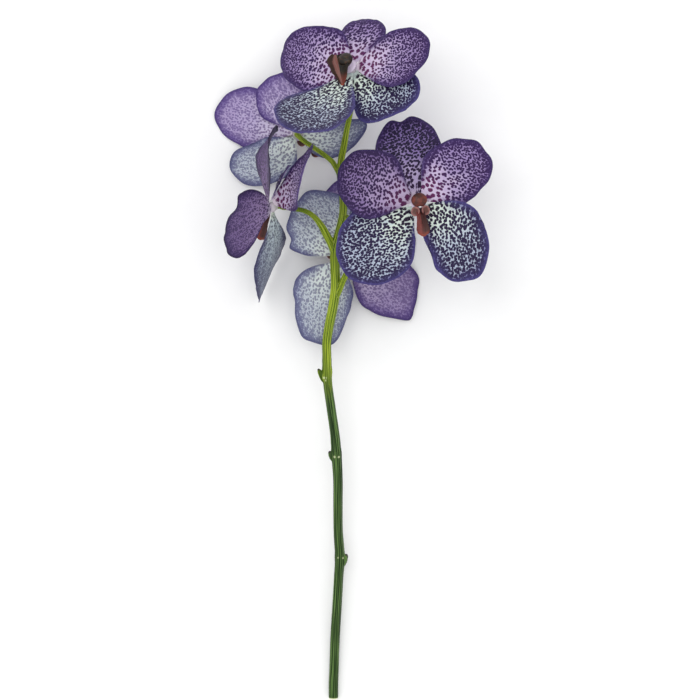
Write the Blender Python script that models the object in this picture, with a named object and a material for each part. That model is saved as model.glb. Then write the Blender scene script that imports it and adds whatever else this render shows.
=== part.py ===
"""Vanda orchid: one cut flower stem with five open blooms, lying on its side. Metres, Z up.

The stem runs along Y with its cut end at the low Y end. Two blooms face up, one faces the side and
two face down. The part rests on the cut end and on one tip of each of the two blooms that face down.
"""

import math

import bmesh
import bpy
import numpy as np

# Driving dimensions, in millimetres and degrees

MM = 0.001
BLADE_THICK = 0.8           # sepals and petals
LIP_THICK = 0.9
BLADE_COLUMNS = 9           # points across a blade, left edge to right edge
BLADE_ROWS = 7              # points along a blade, base to rim
LIP_COLUMNS = 7
LIP_ROWS = 13
PATH_STEPS = 40             # short straight pieces that make up a midrib
CLAW_HALF = 1.6             # half the width of a blade's base
STEM_SIDES = 10
PEDICEL_SIDES = 8
RING_STEP = 9.0             # spacing of the rings along the stem
RECEPTACLE_RADIUS = 3.4
RECEPTACLE_FACE = 1.4       # how far the receptacle stands in front of the middle of the bloom
COLUMN_BASE = 1.7
COLUMN_SIDES = 12
BRACT_SIDES = 6
FOOTPRINT_MIDDLE = (0.81, -7.97, 0.0)   # becomes the origin

# One blade (a sepal or a petal), seen from the front of its bloom with the tip pointing outwards:
#   turn      direction round the bloom, 0 to the right, 90 up
#   lift      angle of the base above the bloom's plane, towards the front
#   bend      how much the midrib curls towards the front (negative: back) from base to tip
#   kink      1 spreads that curl evenly, more puts it nearer the tip
#   sweep     how much the midrib swings to the left in its own plane
#   roll      turn of the whole blade about its midrib
#   twist     extra turn about the midrib gained from base to tip
#   length    along the midrib
#   left, right   greatest half widths
#   shoulder  where the sides end and the round tip begins, as a share of the length
#   flare     how slowly the sides widen
#   blunt     how blunt the round tip is
#   cup       angle by which each side is curled up
#   wave, waves, phase   height, number and place of the waves of the rim
#   notch, notch_at      depth and place of a notch in the rim
#   reach, rise   distance of the base from the middle of the bloom, and its height above the bloom's plane
BLADE = dict(
    turn=90, lift=4, bend=-8, kink=1.0, sweep=0, roll=0, twist=0,
    length=54, left=21, right=21, shoulder=0.6, flare=1.25, blunt=0.9,
    cup=8, wave=0.7, waves=3, phase=0, notch=0, notch_at=0.0, reach=3.7, rise=0.0,
)

# The lip: a channelled tongue with two raised side lobes, on a narrow foot below the column.
# wide scales the table of half widths.
LIP = dict(
    turn=-90, lift=68, bend=-62, kink=0.8, length=24, wide=1.0, reach=3.0, rise=2.4,
)
# Half width and curl of the lip at shares of its length
LIP_STATIONS = (0.0, 0.14, 0.34, 0.52, 0.68, 0.84, 0.95, 1.0)
LIP_HALF = (1.6, 2.8, 4.6, 3.6, 3.6, 4.2, 3.4, 2.2)
LIP_CURL = (20, 42, 70, 55, 42, 34, 26, 16)

# The column: height above the bloom's plane, half width, half depth and how far its middle is moved up
COLUMN_RINGS = (
    (0.0, 2.3, 2.0, 0.0),
    (2.4, 2.1, 1.9, 0.2),
    (4.2, 2.5, 2.3, 0.5),
    (5.4, 4.0, 3.4, 0.9),
    (7.0, 5.1, 4.5, 1.3),
    (8.6, 5.0, 4.4, 1.4),
    (10.0, 3.9, 3.5, 1.3),
    (10.9, 2.0, 1.8, 1.2),
)

# Blooms. "middle" is the place of the bloom, "facing" its direction as compass angle and height,
# "up" the compass angle its dorsal sepal leans towards.
BLOOMS = {
    "right": dict(
        middle=(43.4, 93.9, 66.0), facing=(0, 86), up=96,
        dorsal_sepal=dict(
            turn=96, bend=-14, sweep=-11, left=23.5, right=22, shoulder=0.5, blunt=1.15,
            notch=2.0, notch_at=-0.12, rise=-1.2, length=54),
        petal_right=dict(
            turn=33, lift=11, bend=-20, sweep=-10, length=52, left=22.5, right=18.5, shoulder=0.4,
            blunt=0.7),
        petal_left=dict(
            turn=153, lift=11, bend=-18, sweep=-13, length=52.5, left=24.5, right=21.5, shoulder=0.5,
            flare=1.35, blunt=1.15),
        lateral_sepal_right=dict(
            turn=-50, lift=17, bend=-8, sweep=-39, twist=1, roll=2, length=55.5, left=25.5, right=13,
            shoulder=0.4, flare=1.0, blunt=0.6, rise=1.2),
        lateral_sepal_left=dict(
            turn=220, sweep=-4, length=61.5, left=25.5, right=25.5, shoulder=0.5, flare=1.4,
            blunt=0.85, rise=-1.2),
        lip=dict(),
    ),
    "top": dict(
        middle=(0.6, 180.1, 61.0), facing=(135, 52), up=85,
        dorsal_sepal=dict(
            turn=98, bend=-17, sweep=-9, length=38.5, left=16, right=19, shoulder=0.55, blunt=1.0,
            twist=4, roll=2, rise=-1.2),
        petal_right=dict(
            turn=20, lift=11, bend=-19, sweep=-6, length=53, left=18, right=26.5, flare=1.0,
            blunt=0.95),
        petal_left=dict(
            turn=165, lift=11, bend=-15, sweep=1, length=54.5, left=25.5, right=22, shoulder=0.35,
            flare=0.7, blunt=1.05, twist=-5, roll=-4),
        lateral_sepal_right=dict(
            turn=-21, bend=-7, sweep=-6, length=54, left=17.5, right=27.5, flare=1.1,
            blunt=0.95, twist=-3, roll=-1, rise=-1.2),
        lateral_sepal_left=dict(
            turn=268, lift=17, bend=14, sweep=-26, length=64, left=32, right=27.5, shoulder=0.65,
            flare=1.85, blunt=0.95, twist=-1, roll=-1, rise=1.2),
        lip=dict(lift=95, bend=-150, kink=1.0, length=22, wide=1.3),
    ),
    "back": dict(
        middle=(-34.2, 142.6, 18.0), facing=(60, -76), up=130,
        dorsal_sepal=dict(
            turn=108, bend=-9, length=39, left=19, right=19, shoulder=0.5, flare=1.1, blunt=0.95,
            rise=-1.2),
        petal_right=dict(
            turn=54, lift=15.5, length=56.5, left=21.5, right=19, shoulder=0.55, sweep=3, blunt=0.95),
        petal_left=dict(turn=155, lift=11, length=50, left=20, right=20),
        lateral_sepal_right=dict(
            turn=-8, sweep=54, length=49, left=12.5, right=17.5, shoulder=0.35, blunt=0.55,
            twist=1, roll=-1, rise=-1.2),
        lateral_sepal_left=dict(
            turn=232, bend=-3, sweep=-46, length=43.5, left=15.5, right=9, shoulder=0.4, flare=0.7,
            blunt=1.6, roll=-2, rise=-1.2),
        lip=dict(lift=50, length=19),
    ),
    "low": dict(
        middle=(-4.6, 61.2, 18.6), facing=(190, -79), up=15,
        dorsal_sepal=dict(turn=84, lift=10.4, bend=-5, length=50, left=20, right=20, rise=2.0),
        petal_right=dict(turn=25, lift=11, length=50, left=20, right=20),
        petal_left=dict(
            turn=141, lift=11, bend=-7, sweep=-8, twist=-2, length=57.5, left=19, right=25.5,
            shoulder=0.5, flare=1.45, blunt=1.15),
        lateral_sepal_right=dict(
            turn=-15, bend=-9, sweep=-10, length=45.5, left=24, right=26, shoulder=0.45, flare=0.7,
            blunt=1.05, rise=-1.2),
        lateral_sepal_left=dict(
            turn=222, bend=-9, sweep=-33, twist=1, roll=-1, length=57, left=23.5, right=16,
            shoulder=0.35, flare=1.15, blunt=0.8, rise=-1.2),
        lip=dict(turn=-125, lift=62, bend=-30, length=17, reach=3.2),
    ),
    "side": dict(
        middle=(-51.2, 92.8, 42.0), facing=(190, 8), up=100,
        dorsal_sepal=dict(
            turn=66, lift=2, bend=-44, kink=1.6, sweep=20, twist=-29, roll=11, length=52.5, left=23.5,
            right=17, flare=1.45, blunt=0.95, cup=12, rise=1.4),
        petal_right=dict(
            turn=39, lift=-38, bend=21, sweep=-9, twist=-37, roll=14, length=55, left=10.5, right=30,
            shoulder=0.65, flare=0.9, blunt=0.75, cup=12, rise=-1.6),
        petal_left=dict(
            turn=76, lift=-31, bend=-10, roll=-10, length=28, left=12, right=9, cup=12, rise=-0.1),
        lateral_sepal_right=dict(
            turn=-22, lift=46, bend=7, sweep=-7, twist=-11, roll=-7, length=47, left=22, right=26.5,
            flare=0.7, shoulder=0.55, blunt=0.95, cup=12, rise=0.6),
        lateral_sepal_left=dict(
            turn=-108, lift=4, bend=28, sweep=-4, twist=-24, roll=44, length=63.5, left=22.5,
            right=26.5, shoulder=0.55, flare=1.55, blunt=1.25, cup=12, rise=-0.6),
        lip=dict(turn=-100, lift=40, bend=-14, length=19, wide=0.9),
    ),
}
BLADES = ("dorsal_sepal", "petal_left", "petal_right", "lateral_sepal_left", "lateral_sepal_right")

# Stem and pedicels: place of the middle line and radius at hand-set stations, cut end first
STEM = (
    (-11.0, -232.0, 2.95, 3.1),
    (-11.0, -222.0, 2.95, 3.1),
    (-10.6, -212.0, 3.3, 3.05),
    (-10.0, -192.0, 5.5, 3.1),
    (-8.6, -168.0, 8.5, 3.1),
    (-7.6, -150.0, 11.0, 3.1),
    (-6.8, -137.0, 13.0, 3.35),
    (-7.9, -119.0, 15.6, 3.05),
    (-8.0, -100.0, 18.2, 3.1),
    (-8.0, -85.0, 20.2, 3.15),
    (-9.0, -67.5, 22.6, 3.4),
    (-10.0, -55.0, 24.2, 3.05),
    (-12.4, -38.0, 26.6, 2.95),
    (-14.6, -22.0, 28.8, 2.9),
    (-15.0, -13.0, 30.0, 3.2),
    (-15.2, -3.0, 31.2, 2.9),
    (-15.2, 5.0, 32.1, 2.9),
    (-13.8, 15.0, 33.3, 3.0),
    (-11.0, 29.0, 34.7, 3.1),
    (-9.4, 42.0, 35.8, 3.1),
    (-9.8, 53.0, 36.5, 3.0),
    (-9.9, 64.0, 37.0, 2.9),
    (-7.4, 76.0, 37.6, 2.6),
    (-4.6, 88.0, 38.0, 2.5),
    (-4.6, 100.0, 38.6, 2.4),
    (-6.6, 116.0, 39.6, 2.3),
)
PEDICELS = {
    "right": (
        (-10.6, 32.0, 35.0, 2.2),
        (-7.0, 39.0, 37.5, 2.1),
        (-3.6, 47.0, 40.5, 2.0),
        (2.0, 56.0, 44.0, 1.9),
        (12.0, 67.0, 48.0, 1.8),
        (26.0, 79.0, 52.5, 1.7),
        (38.0, 89.0, 57.0, 1.7),
    ),
    "top": (
        (-6.4, 115.0, 39.5, 2.2),
        (-5.8, 123.0, 41.0, 2.2),
        (-4.2, 131.0, 43.0, 2.2),
        (-2.2, 142.0, 45.6, 1.9),
        (0.0, 152.0, 48.2, 1.7),
        (2.2, 163.0, 51.2, 1.6),
        (3.4, 172.0, 54.0, 1.6),
    ),
    "back": (
        (-6.6, 114.0, 39.4, 1.9),
        (-9.0, 118.5, 39.0, 1.8),
        (-12.0, 123.0, 37.6, 1.7),
        (-17.8, 128.0, 34.6, 1.6),
        (-25.6, 133.6, 30.6, 1.6),
        (-31.4, 138.0, 27.0, 1.6),
    ),
    "low": (
        (-4.6, 88.0, 38.0, 1.9),
        (-1.0, 85.0, 38.4, 1.8),
        (2.2, 78.0, 37.4, 1.7),
        (1.6, 70.0, 33.6, 1.6),
        (-1.6, 64.0, 28.6, 1.6),
    ),
    "side": (
        (-9.9, 62.0, 36.9, 2.4),
        (-12.2, 69.0, 37.8, 2.4),
        (-16.0, 76.2, 39.0, 2.1),
        (-19.2, 81.6, 39.8, 1.9),
        (-23.8, 87.0, 40.4, 1.7),
        (-29.6, 90.4, 40.8, 1.6),
        (-37.4, 91.8, 41.0, 1.5),
        (-43.8, 92.6, 41.2, 1.5),
    ),
}
# Bracts at the stem's nodes: place of the base, direction the tip points to, length and half width
BRACTS = (
    ((-16.6, -20.0, 29.2), (-0.55, 1.0, 0.25), 9.0, 2.1),
    ((-5.2, -142.0, 12.4), (0.45, 1.0, 0.1), 7.5, 2.2),
    ((-11.0, -72.0, 22.0), (-0.5, 1.0, 0.35), 6.5, 1.9),
)

COLOURS = {
    "dorsal_sepal": (0.36, 0.22, 0.55),
    "petal_left": (0.38, 0.22, 0.56),
    "petal_right": (0.38, 0.22, 0.56),
    "lateral_sepal_left": (0.34, 0.40, 0.56),
    "lateral_sepal_right": (0.34, 0.40, 0.56),
    "lip": (0.30, 0.07, 0.09),
    "column": (0.26, 0.09, 0.08),
    "stem": (0.16, 0.26, 0.05),
}


def smooth_table(shares, stations, values):
    """Values between stations, eased so that the outline has no corners."""
    shares = np.asarray(shares, float)
    stations = np.asarray(stations, float)
    values = np.asarray(values, float)
    i = np.clip(np.searchsorted(stations, shares, side="right") - 1, 0, len(stations) - 2)
    f = np.clip((shares - stations[i]) / (stations[i + 1] - stations[i]), 0, 1)
    f = f * f * (3 - 2 * f)
    return values[i] * (1 - f) + values[i + 1] * f


def turned(vector, axis, angle):
    """The vector turned about an axis of length one."""
    c = math.cos(angle)
    s = math.sin(angle)
    return vector * c + np.cross(axis, vector) * s + axis * (axis @ vector) * (1 - c)


def midrib(blade):
    """Places, normals and right-hand directions along the midrib, in the bloom's frame."""
    angle = math.radians(blade["turn"])
    lift = math.radians(blade["lift"])
    out = np.array([math.cos(angle), math.sin(angle), 0.0])
    front = np.array([0.0, 0.0, 1.0])
    tangent = out * math.cos(lift) + front * math.sin(lift)
    normal = front * math.cos(lift) - out * math.sin(lift)
    side = np.cross(tangent, normal)
    roll = math.radians(blade["roll"])
    normal = turned(normal, tangent, roll)
    side = turned(side, tangent, roll)
    place = out * blade["reach"] + front * blade["rise"]
    step = blade["length"] / PATH_STEPS
    places = []
    normals = []
    sides = []
    for i in range(PATH_STEPS + 1):
        places.append(place)
        normals.append(normal)
        sides.append(side)
        share = blade["kink"] * ((i + 0.5) / PATH_STEPS) ** (blade["kink"] - 1) / PATH_STEPS
        turns = (
            (side, blade["bend"]),
            (normal, blade["sweep"]),
            (tangent, blade["twist"]),
        )
        for axis, degrees in turns:
            amount = math.radians(degrees) * share
            tangent = turned(tangent, axis, amount)
            normal = turned(normal, axis, amount)
            side = turned(side, axis, amount)
        place = place + tangent * step
    return np.array(places), np.array(normals), np.array(sides)


def blade_flat(u, t, blade):
    """Flattened place (across, along) of a point: u from -1 left to 1 right, t from 0 base to 1 rim."""
    middle = (blade["left"] + blade["right"]) / 2
    lean = (blade["right"] - blade["left"]) / 2
    side = middle + lean * np.sin(np.pi / 2 * u)
    half = CLAW_HALF + (side - CLAW_HALF) * np.sin(np.pi / 2 * t) ** blade["flare"]
    k = np.maximum(t, 0.05)
    across = half * np.sin(np.pi / 2 * u * k) / np.sin(np.pi / 2 * k)
    shoulder = blade["shoulder"] * blade["length"]
    crown = np.clip(np.cos(np.pi / 2 * u), 0, 1) ** blade["blunt"]
    along = shoulder * t + (blade["length"] - shoulder) * t ** 2 * crown
    notch = blade["notch"] * t ** 6 * np.exp(-(((u - blade["notch_at"]) / 0.12) ** 2))
    return across, along - notch


def blade_relief(u, t, across, along, blade):
    """Height of a blade over its bent middle surface: the waves of the rim."""
    margin = (1 - (1 - u ** 2) * (1 - t ** 4)) ** 2 * t
    around = np.arctan2(across, along - 0.45 * blade["length"])
    return blade["wave"] * margin * np.sin(blade["waves"] * around + math.radians(blade["phase"]))


def wrap(across, along, curl, relief, blade):
    """Points of a flattened outline bent along the midrib, its sides curled up on a round section."""
    places, normals, sides = midrib(blade)
    s = np.clip(along / blade["length"], 0, 1) * PATH_STEPS
    i = np.minimum(s.astype(int), PATH_STEPS - 1)
    f = (s - i)[..., None]
    place = places[i] * (1 - f) + places[i + 1] * f
    normal = normals[i] * (1 - f) + normals[i + 1] * f
    side = sides[i] * (1 - f) + sides[i + 1] * f
    curl = np.where(np.abs(curl) < 1e-6, 1e-6, curl)
    reach = across * np.sin(curl) / curl
    height = across * (1 - np.cos(curl)) / curl + relief
    return place + side * reach[..., None] + normal * height[..., None]


def blade_points(u, t, blade):
    """Middle surface of a sepal or petal."""
    across, along = blade_flat(u, t, blade)
    curl = math.radians(blade["cup"]) * across / max(blade["left"], blade["right"])
    relief = blade_relief(u, t, across, along, blade)
    return wrap(across, along, curl, relief, blade)


def lip_points(u, t, lip):
    """Middle surface of the lip."""
    half = smooth_table(t, LIP_STATIONS, LIP_HALF) * lip["wide"]
    curl = np.radians(smooth_table(t, LIP_STATIONS, LIP_CURL)) * u
    along = t * lip["length"] - 1.5 * u ** 2 * t ** 8
    return wrap(half * u, along, curl, np.zeros_like(along), lip)


def surface_normals(points):
    """Directions square to a grid of points, towards the front of a blade, evened out between neighbours."""
    rows, columns = points.shape[:2]
    along = np.gradient(points, axis=0)
    across = np.gradient(points, axis=1)
    normal = np.cross(across, along)
    normal = normal / np.linalg.norm(normal, axis=2, keepdims=True)
    framed = np.pad(normal, ((1, 1), (1, 1), (0, 0)), mode="edge")
    normal = sum(framed[r:r + rows, c:c + columns] for r in range(3) for c in range(3))
    return normal / np.linalg.norm(normal, axis=2, keepdims=True)


def bloom_axes(bloom):
    """Right, up and front of a bloom, in rows."""
    compass, height = (math.radians(v) for v in bloom["facing"])
    lean = math.radians(bloom["up"])
    flat = math.cos(height)
    front = np.array([math.cos(compass) * flat, math.sin(compass) * flat, math.sin(height)])
    hint = np.array([math.cos(lean), math.sin(lean), 0.0])
    up = hint - (hint @ front) * front
    up = up / np.linalg.norm(up)
    return np.array([np.cross(up, front), up, front])


def in_place(points, bloom):
    """Points of a bloom's frame in the frame of the part."""
    return points @ bloom_axes(bloom) + np.array(bloom["middle"])


def laid_down(points):
    """Points with those under the ground pressed flat onto it."""
    return np.maximum(points, (-np.inf, -np.inf, 0.0))


def sheet(points, thick):
    """Closed body of a grid of points: a front and a back skin joined round the rim."""
    rows, columns = points.shape[:2]
    offset = surface_normals(points) * (thick / 2)
    skins = np.concatenate([(points + offset).reshape(-1, 3), (points - offset).reshape(-1, 3)])
    below = rows * columns
    faces = []
    for r in range(rows - 1):
        for c in range(columns - 1):
            a = r * columns + c
            b = a + 1
            d = a + columns
            e = d + 1
            corners = ((a, b, e), (a, e, d)) if c * 2 < columns - 1 else ((a, b, d), (b, e, d))
            for p, q, s in corners:
                faces.append((p, q, s))
                faces.append((s + below, q + below, p + below))
    rim = list(range(columns))
    rim += [r * columns + columns - 1 for r in range(1, rows)]
    rim += [(rows - 1) * columns + c for c in range(columns - 2, -1, -1)]
    rim += [r * columns for r in range(rows - 2, 0, -1)]
    for i, p in enumerate(rim):
        q = rim[(i + 1) % len(rim)]
        faces.append((q, p, p + below))
        faces.append((q, p + below, q + below))
    return skins, faces


def blade_body(kind, spec):
    """Grid of one blade or lip in its bloom's frame, made into a closed body."""
    if kind == "lip":
        t, u = np.meshgrid(np.linspace(0, 1, LIP_ROWS), np.linspace(-1, 1, LIP_COLUMNS), indexing="ij")
        return lip_points(u, t, {**BLADE, **LIP, **spec}), LIP_THICK
    t, u = np.meshgrid(np.linspace(0, 1, BLADE_ROWS), np.linspace(-1, 1, BLADE_COLUMNS), indexing="ij")
    return blade_points(u, t, {**BLADE, **spec}), BLADE_THICK


def column_body():
    """Closed body of the column with its round cap, in the bloom's frame."""
    points = []
    for height, wide, deep, up in COLUMN_RINGS:
        for i in range(COLUMN_SIDES):
            a = 2 * math.pi * i / COLUMN_SIDES
            points.append((wide * math.cos(a), up + deep * math.sin(a), COLUMN_BASE + height))
    return np.array(points), ring_faces(len(COLUMN_RINGS), COLUMN_SIDES)


def ring_faces(rings, sides):
    """Faces of a tube of rings that run counter-clockwise about its direction, closed at both ends."""
    faces = []
    for r in range(rings - 1):
        for i in range(sides):
            j = (i + 1) % sides
            a = r * sides
            faces.append((a + i, a + j, a + sides + j))
            faces.append((a + i, a + sides + j, a + sides + i))
    for i in range(1, sides - 1):
        faces.append((0, i + 1, i))
        last = (rings - 1) * sides
        faces.append((last, last + i, last + i + 1))
    return faces


def eased_path(stations, step):
    """Even stations of a smooth curve through hand-set ones (place and radius together)."""
    p = np.array(stations, float)
    p = np.concatenate([[2 * p[0] - p[1]], p, [2 * p[-1] - p[-2]]])
    out = []
    for i in range(1, len(p) - 2):
        count = max(1, round(float(np.linalg.norm(p[i + 1][:3] - p[i][:3])) / step))
        for k in range(count):
            f = k / count
            a = 2 * p[i]
            b = (p[i + 1] - p[i - 1]) * f
            c = (2 * p[i - 1] - 5 * p[i] + 4 * p[i + 1] - p[i + 2]) * f * f
            d = (3 * p[i] - p[i - 1] - 3 * p[i + 1] + p[i + 2]) * f ** 3
            out.append((a + b + c + d) / 2)
    out.append(p[-2])
    return np.array(out)


def tube(stations, sides):
    """Closed round body along stations, one flat side down. Rings square to the curve."""
    places = stations[:, :3]
    tangents = np.gradient(places, axis=0)
    tangents = tangents / np.linalg.norm(tangents, axis=1, keepdims=True)
    down = np.array([0.0, 0.0, -1.0])
    if abs(tangents[0] @ down) > 0.9:
        down = np.array([0.0, 1.0, 0.0])
    points = []
    for place, tangent, radius in zip(places, tangents, stations[:, 3]):
        down = down - (down @ tangent) * tangent
        down = down / np.linalg.norm(down)
        right = np.cross(tangent, down)
        for i in range(sides):
            a = 2 * math.pi * (i + 0.5) / sides
            points.append(place + radius * (math.cos(a) * down + math.sin(a) * right))
    return np.array(points), ring_faces(len(places), sides)


def pedicel_stations(name):
    """A pedicel from inside the stem to the receptacle that carries its bloom."""
    bloom = BLOOMS[name]
    middle = np.array(bloom["middle"])
    front = bloom_axes(bloom)[2]
    knob = ((-5.0, 1.7), (-3.0, 2.3), (-1.2, RECEPTACLE_RADIUS), (RECEPTACLE_FACE, RECEPTACLE_RADIUS - 0.4))
    end = [tuple(middle + front * depth) + (radius,) for depth, radius in knob]
    curve = eased_path(PEDICELS[name] + (end[0],), RING_STEP)
    return np.concatenate([curve, np.array(end[1:])])


def bract_stations(base, direction, length):
    """A small pointed scale, as a tube that narrows to its tip."""
    base = np.array(base)
    direction = np.array(direction) / np.linalg.norm(direction)
    shares = ((0.0, 0.9), (0.35, 1.0), (0.75, 0.6), (1.0, 0.25))
    return [tuple(base + direction * length * f) + (r,) for f, r in shares]


def material(name, colour):
    mat = bpy.data.materials.new(name)
    mat.use_nodes = True
    shader = next(n for n in mat.node_tree.nodes if n.type == "BSDF_PRINCIPLED")
    shader.inputs["Base Color"].default_value = (*colour, 1.0)
    shader.inputs["Roughness"].default_value = 0.5
    mat.diffuse_color = (*colour, 1.0)
    return mat


def body(name, points, faces, mat):
    """A named object from points in millimetres, with its faces turned outwards."""
    mesh = bpy.data.meshes.new(name)
    mesh.from_pydata([tuple(p) for p in (points - FOOTPRINT_MIDDLE) * MM], [], faces)
    bm = bmesh.new()
    bm.from_mesh(mesh)
    bmesh.ops.recalc_face_normals(bm, faces=bm.faces[:])
    bm.to_mesh(mesh)
    bm.free()
    obj = bpy.data.objects.new(name, mesh)
    obj.data.materials.append(mat)
    bpy.context.scene.collection.objects.link(obj)
    return obj


def union(target, tool):
    """Grows the tool into the target."""
    modifier = target.modifiers.new("grow", "BOOLEAN")
    modifier.operation = "UNION"
    modifier.solver = "EXACT"
    modifier.object = tool
    bpy.context.view_layer.objects.active = target
    bpy.ops.object.modifier_apply(modifier=modifier.name)
    bpy.data.objects.remove(tool, do_unlink=True)


def build_stem():
    """The stem, its bracts and the five pedicels with their receptacles, grown together."""
    mat = material("stem_green", COLOURS["stem"])
    points, faces = tube(eased_path(STEM, RING_STEP), STEM_SIDES)
    stem = body("stem", points, faces, mat)
    for name in PEDICELS:
        points, faces = tube(pedicel_stations(name), PEDICEL_SIDES)
        union(stem, body("tool", points, faces, mat))
    for base, direction, length, half in BRACTS:
        stations = np.array(bract_stations(base, direction, length))
        stations[:, 3] *= half
        points, faces = tube(stations, BRACT_SIDES)
        union(stem, body("tool", points, faces, mat))
    return stem


def build_bloom(name):
    """Three sepals, two petals, lip and column of one bloom."""
    bloom = BLOOMS[name]
    for kind in BLADES + ("lip",):
        points, thick = blade_body(kind, bloom[kind])
        skins, faces = sheet(points, thick)
        mat = material(f"{name}_{kind}", COLOURS[kind])
        body(f"{name}_{kind}", laid_down(in_place(skins, bloom)), faces, mat)
    points, faces = column_body()
    body(f"{name}_column", in_place(points, bloom), faces, material(f"{name}_column", COLOURS["column"]))


def main():
    for obj in list(bpy.data.objects):
        bpy.data.objects.remove(obj, do_unlink=True)
    build_stem()
    for name in BLOOMS:
        build_bloom(name)


if __name__ == "__main__":
    main()
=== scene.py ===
"""Looks of a vanda orchid: one cut stem with five spotted blooms, lying on a pale floor."""

import math

import bmesh
import bpy
import numpy as np
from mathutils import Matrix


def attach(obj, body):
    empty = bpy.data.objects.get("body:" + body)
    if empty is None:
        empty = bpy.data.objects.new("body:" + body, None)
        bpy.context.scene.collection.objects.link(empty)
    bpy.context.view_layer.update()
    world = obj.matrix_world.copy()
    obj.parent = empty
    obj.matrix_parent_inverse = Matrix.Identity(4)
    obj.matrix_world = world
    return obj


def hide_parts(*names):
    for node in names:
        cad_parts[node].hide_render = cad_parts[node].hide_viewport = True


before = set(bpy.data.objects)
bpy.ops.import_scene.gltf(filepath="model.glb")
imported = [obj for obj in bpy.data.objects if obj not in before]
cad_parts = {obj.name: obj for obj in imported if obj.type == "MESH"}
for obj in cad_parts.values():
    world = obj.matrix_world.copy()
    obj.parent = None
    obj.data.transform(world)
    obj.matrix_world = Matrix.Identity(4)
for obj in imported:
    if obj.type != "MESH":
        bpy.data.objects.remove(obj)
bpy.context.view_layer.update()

# Sizes are in millimetres and degrees, as in the part, and become metres in the meshes

MM = 0.001
FOOTPRINT_MIDDLE = np.array([0.81, -7.97, 0.0])
PATH_STEPS = 40
OUTLINE_STEPS = 60
BLADE_CELLS = (44, 52)      # across and along a sepal or petal
LIP_CELLS = (28, 56)
EAR_CELLS = (20, 20)
BLADE_THICK = 0.7
BLADE_RIM_THICK = 0.42
RIM_BAND = 5.0              # width over which a blade thins to its rim
LIP_THICK = 0.9
LIP_RIM_THICK = 0.5
EAR_THICK = 0.8
EAR_RIM_THICK = 0.45
NOTCH_WIDTH = 0.12
HEM_WIDTH = 1.6
CREASE_WIDTH = 1.3
VEIN_HEIGHT = 0.07
VEIN_WAVES = 34
COLUMN_BASE = 1.7
RECEPTACLE_RADIUS = 3.4
RECEPTACLE_FACE = 1.4
STEM_SIDES = 28
PEDICEL_SIDES = 24
BRACT_SIDES = 16
STEM_GRAIN = 0.42           # size of the stem's cells once the pedicels have grown into it
STEM_BATCH = 20000
PETAL_SPREAD = 1.7          # how much smaller the spots are at the rim than at the foot, 1 for even ones
LATERAL_SPREAD = 1.28
BACK_SPREAD = 1.12
CAMERA_HEIGHT = 1540.0
CAMERA_LENS = 118.68
CAMERA_SENSOR = 36.0
SOFT_BOXES = (("soft_box_left", (-0.5, 0.5, 1.7), 5), ("soft_box_top", (0.15, 0.0, 1.9), 4))
SOFT_BOX_SIZE = 1.0
SOFT_BOX_AIM = (0.0, 0.05, 0.0)
STUDIO_GLOW = 0.97
FLOOR_SIZE = 4

# A sepal or petal, described as in the part's source, with what only the looks need:
#   frill, frills   height and number of the fine waves of the rim
#   scallop         how far the outline wanders in and out
#   crease          depth of the groove over the midrib
#   hem             how far the rim turns back
#   lumps           places round the rim, in degrees from the tip to the right, how far they stand out, widths
#   nick            place of a bay in a side edge, its depth as a share of the half width, width
#   tone            how much darker than the others
#   claw            half width of the foot
BLADE = dict(
    turn=90, lift=4, bend=-8, kink=1.0, sweep=0, roll=0, twist=0,
    length=54, left=21, right=21, shoulder=0.6, flare=1.25, blunt=0.9,
    cup=8, wave=0.7, waves=3, notch=0, notch_at=0.0, reach=3.7, rise=0.0,
    frill=0.32, frills=9, scallop=0.6, crease=0.5, hem=0.5, lumps=(),
    nick=(0, 0.0, 20), tone=0.0, claw=1.6,
)
LIP = dict(turn=-90, lift=68, bend=-62, kink=0.8, length=24, wide=1.0, reach=3.0, rise=2.4)
# The round lobes at the foot of the lip: middle, ways of the long and the short half, half sizes, hollow
EARS = (
    ((-2.9, -5.6, 8.4), (0.35, 0.9, 0.25), (-0.85, 0.3, -0.35), (3.1, 2.8), 0.8),
    ((3.3, -5.4, 8.4), (-0.35, 0.9, 0.25), (0.85, 0.3, -0.35), (3.1, 2.8), 0.8),
)
# A lip folded like a boat: middle of its keel, half the keel, and its two walls
BOAT = dict(
    middle=(-2.2, -6.2, 8.0), keel=(4.2, -9.8, -3.0), left=(-5.6, -1.5, 5.0), right=(7.8, 1.0, 2.0))
# Along a lip's tongue, from foot to tip: share of the length, half width and how far the sides curl up
LIP_STATIONS = (0.0, 0.14, 0.34, 0.52, 0.68, 0.84, 0.95, 1.0)
LIP_HALF = (1.6, 2.2, 3.2, 3.3, 3.8, 4.4, 3.8, 2.4)
LIP_CURL = (20, 42, 70, 55, 42, 34, 26, 16)
LIP_KEEL_HEIGHT = 0.4
LIP_KEELS = ((0.22, 1.0, 0.1), (-0.22, 1.0, 0.1), (0.0, 0.7, 0.07))     # place, share of the height, width
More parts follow.
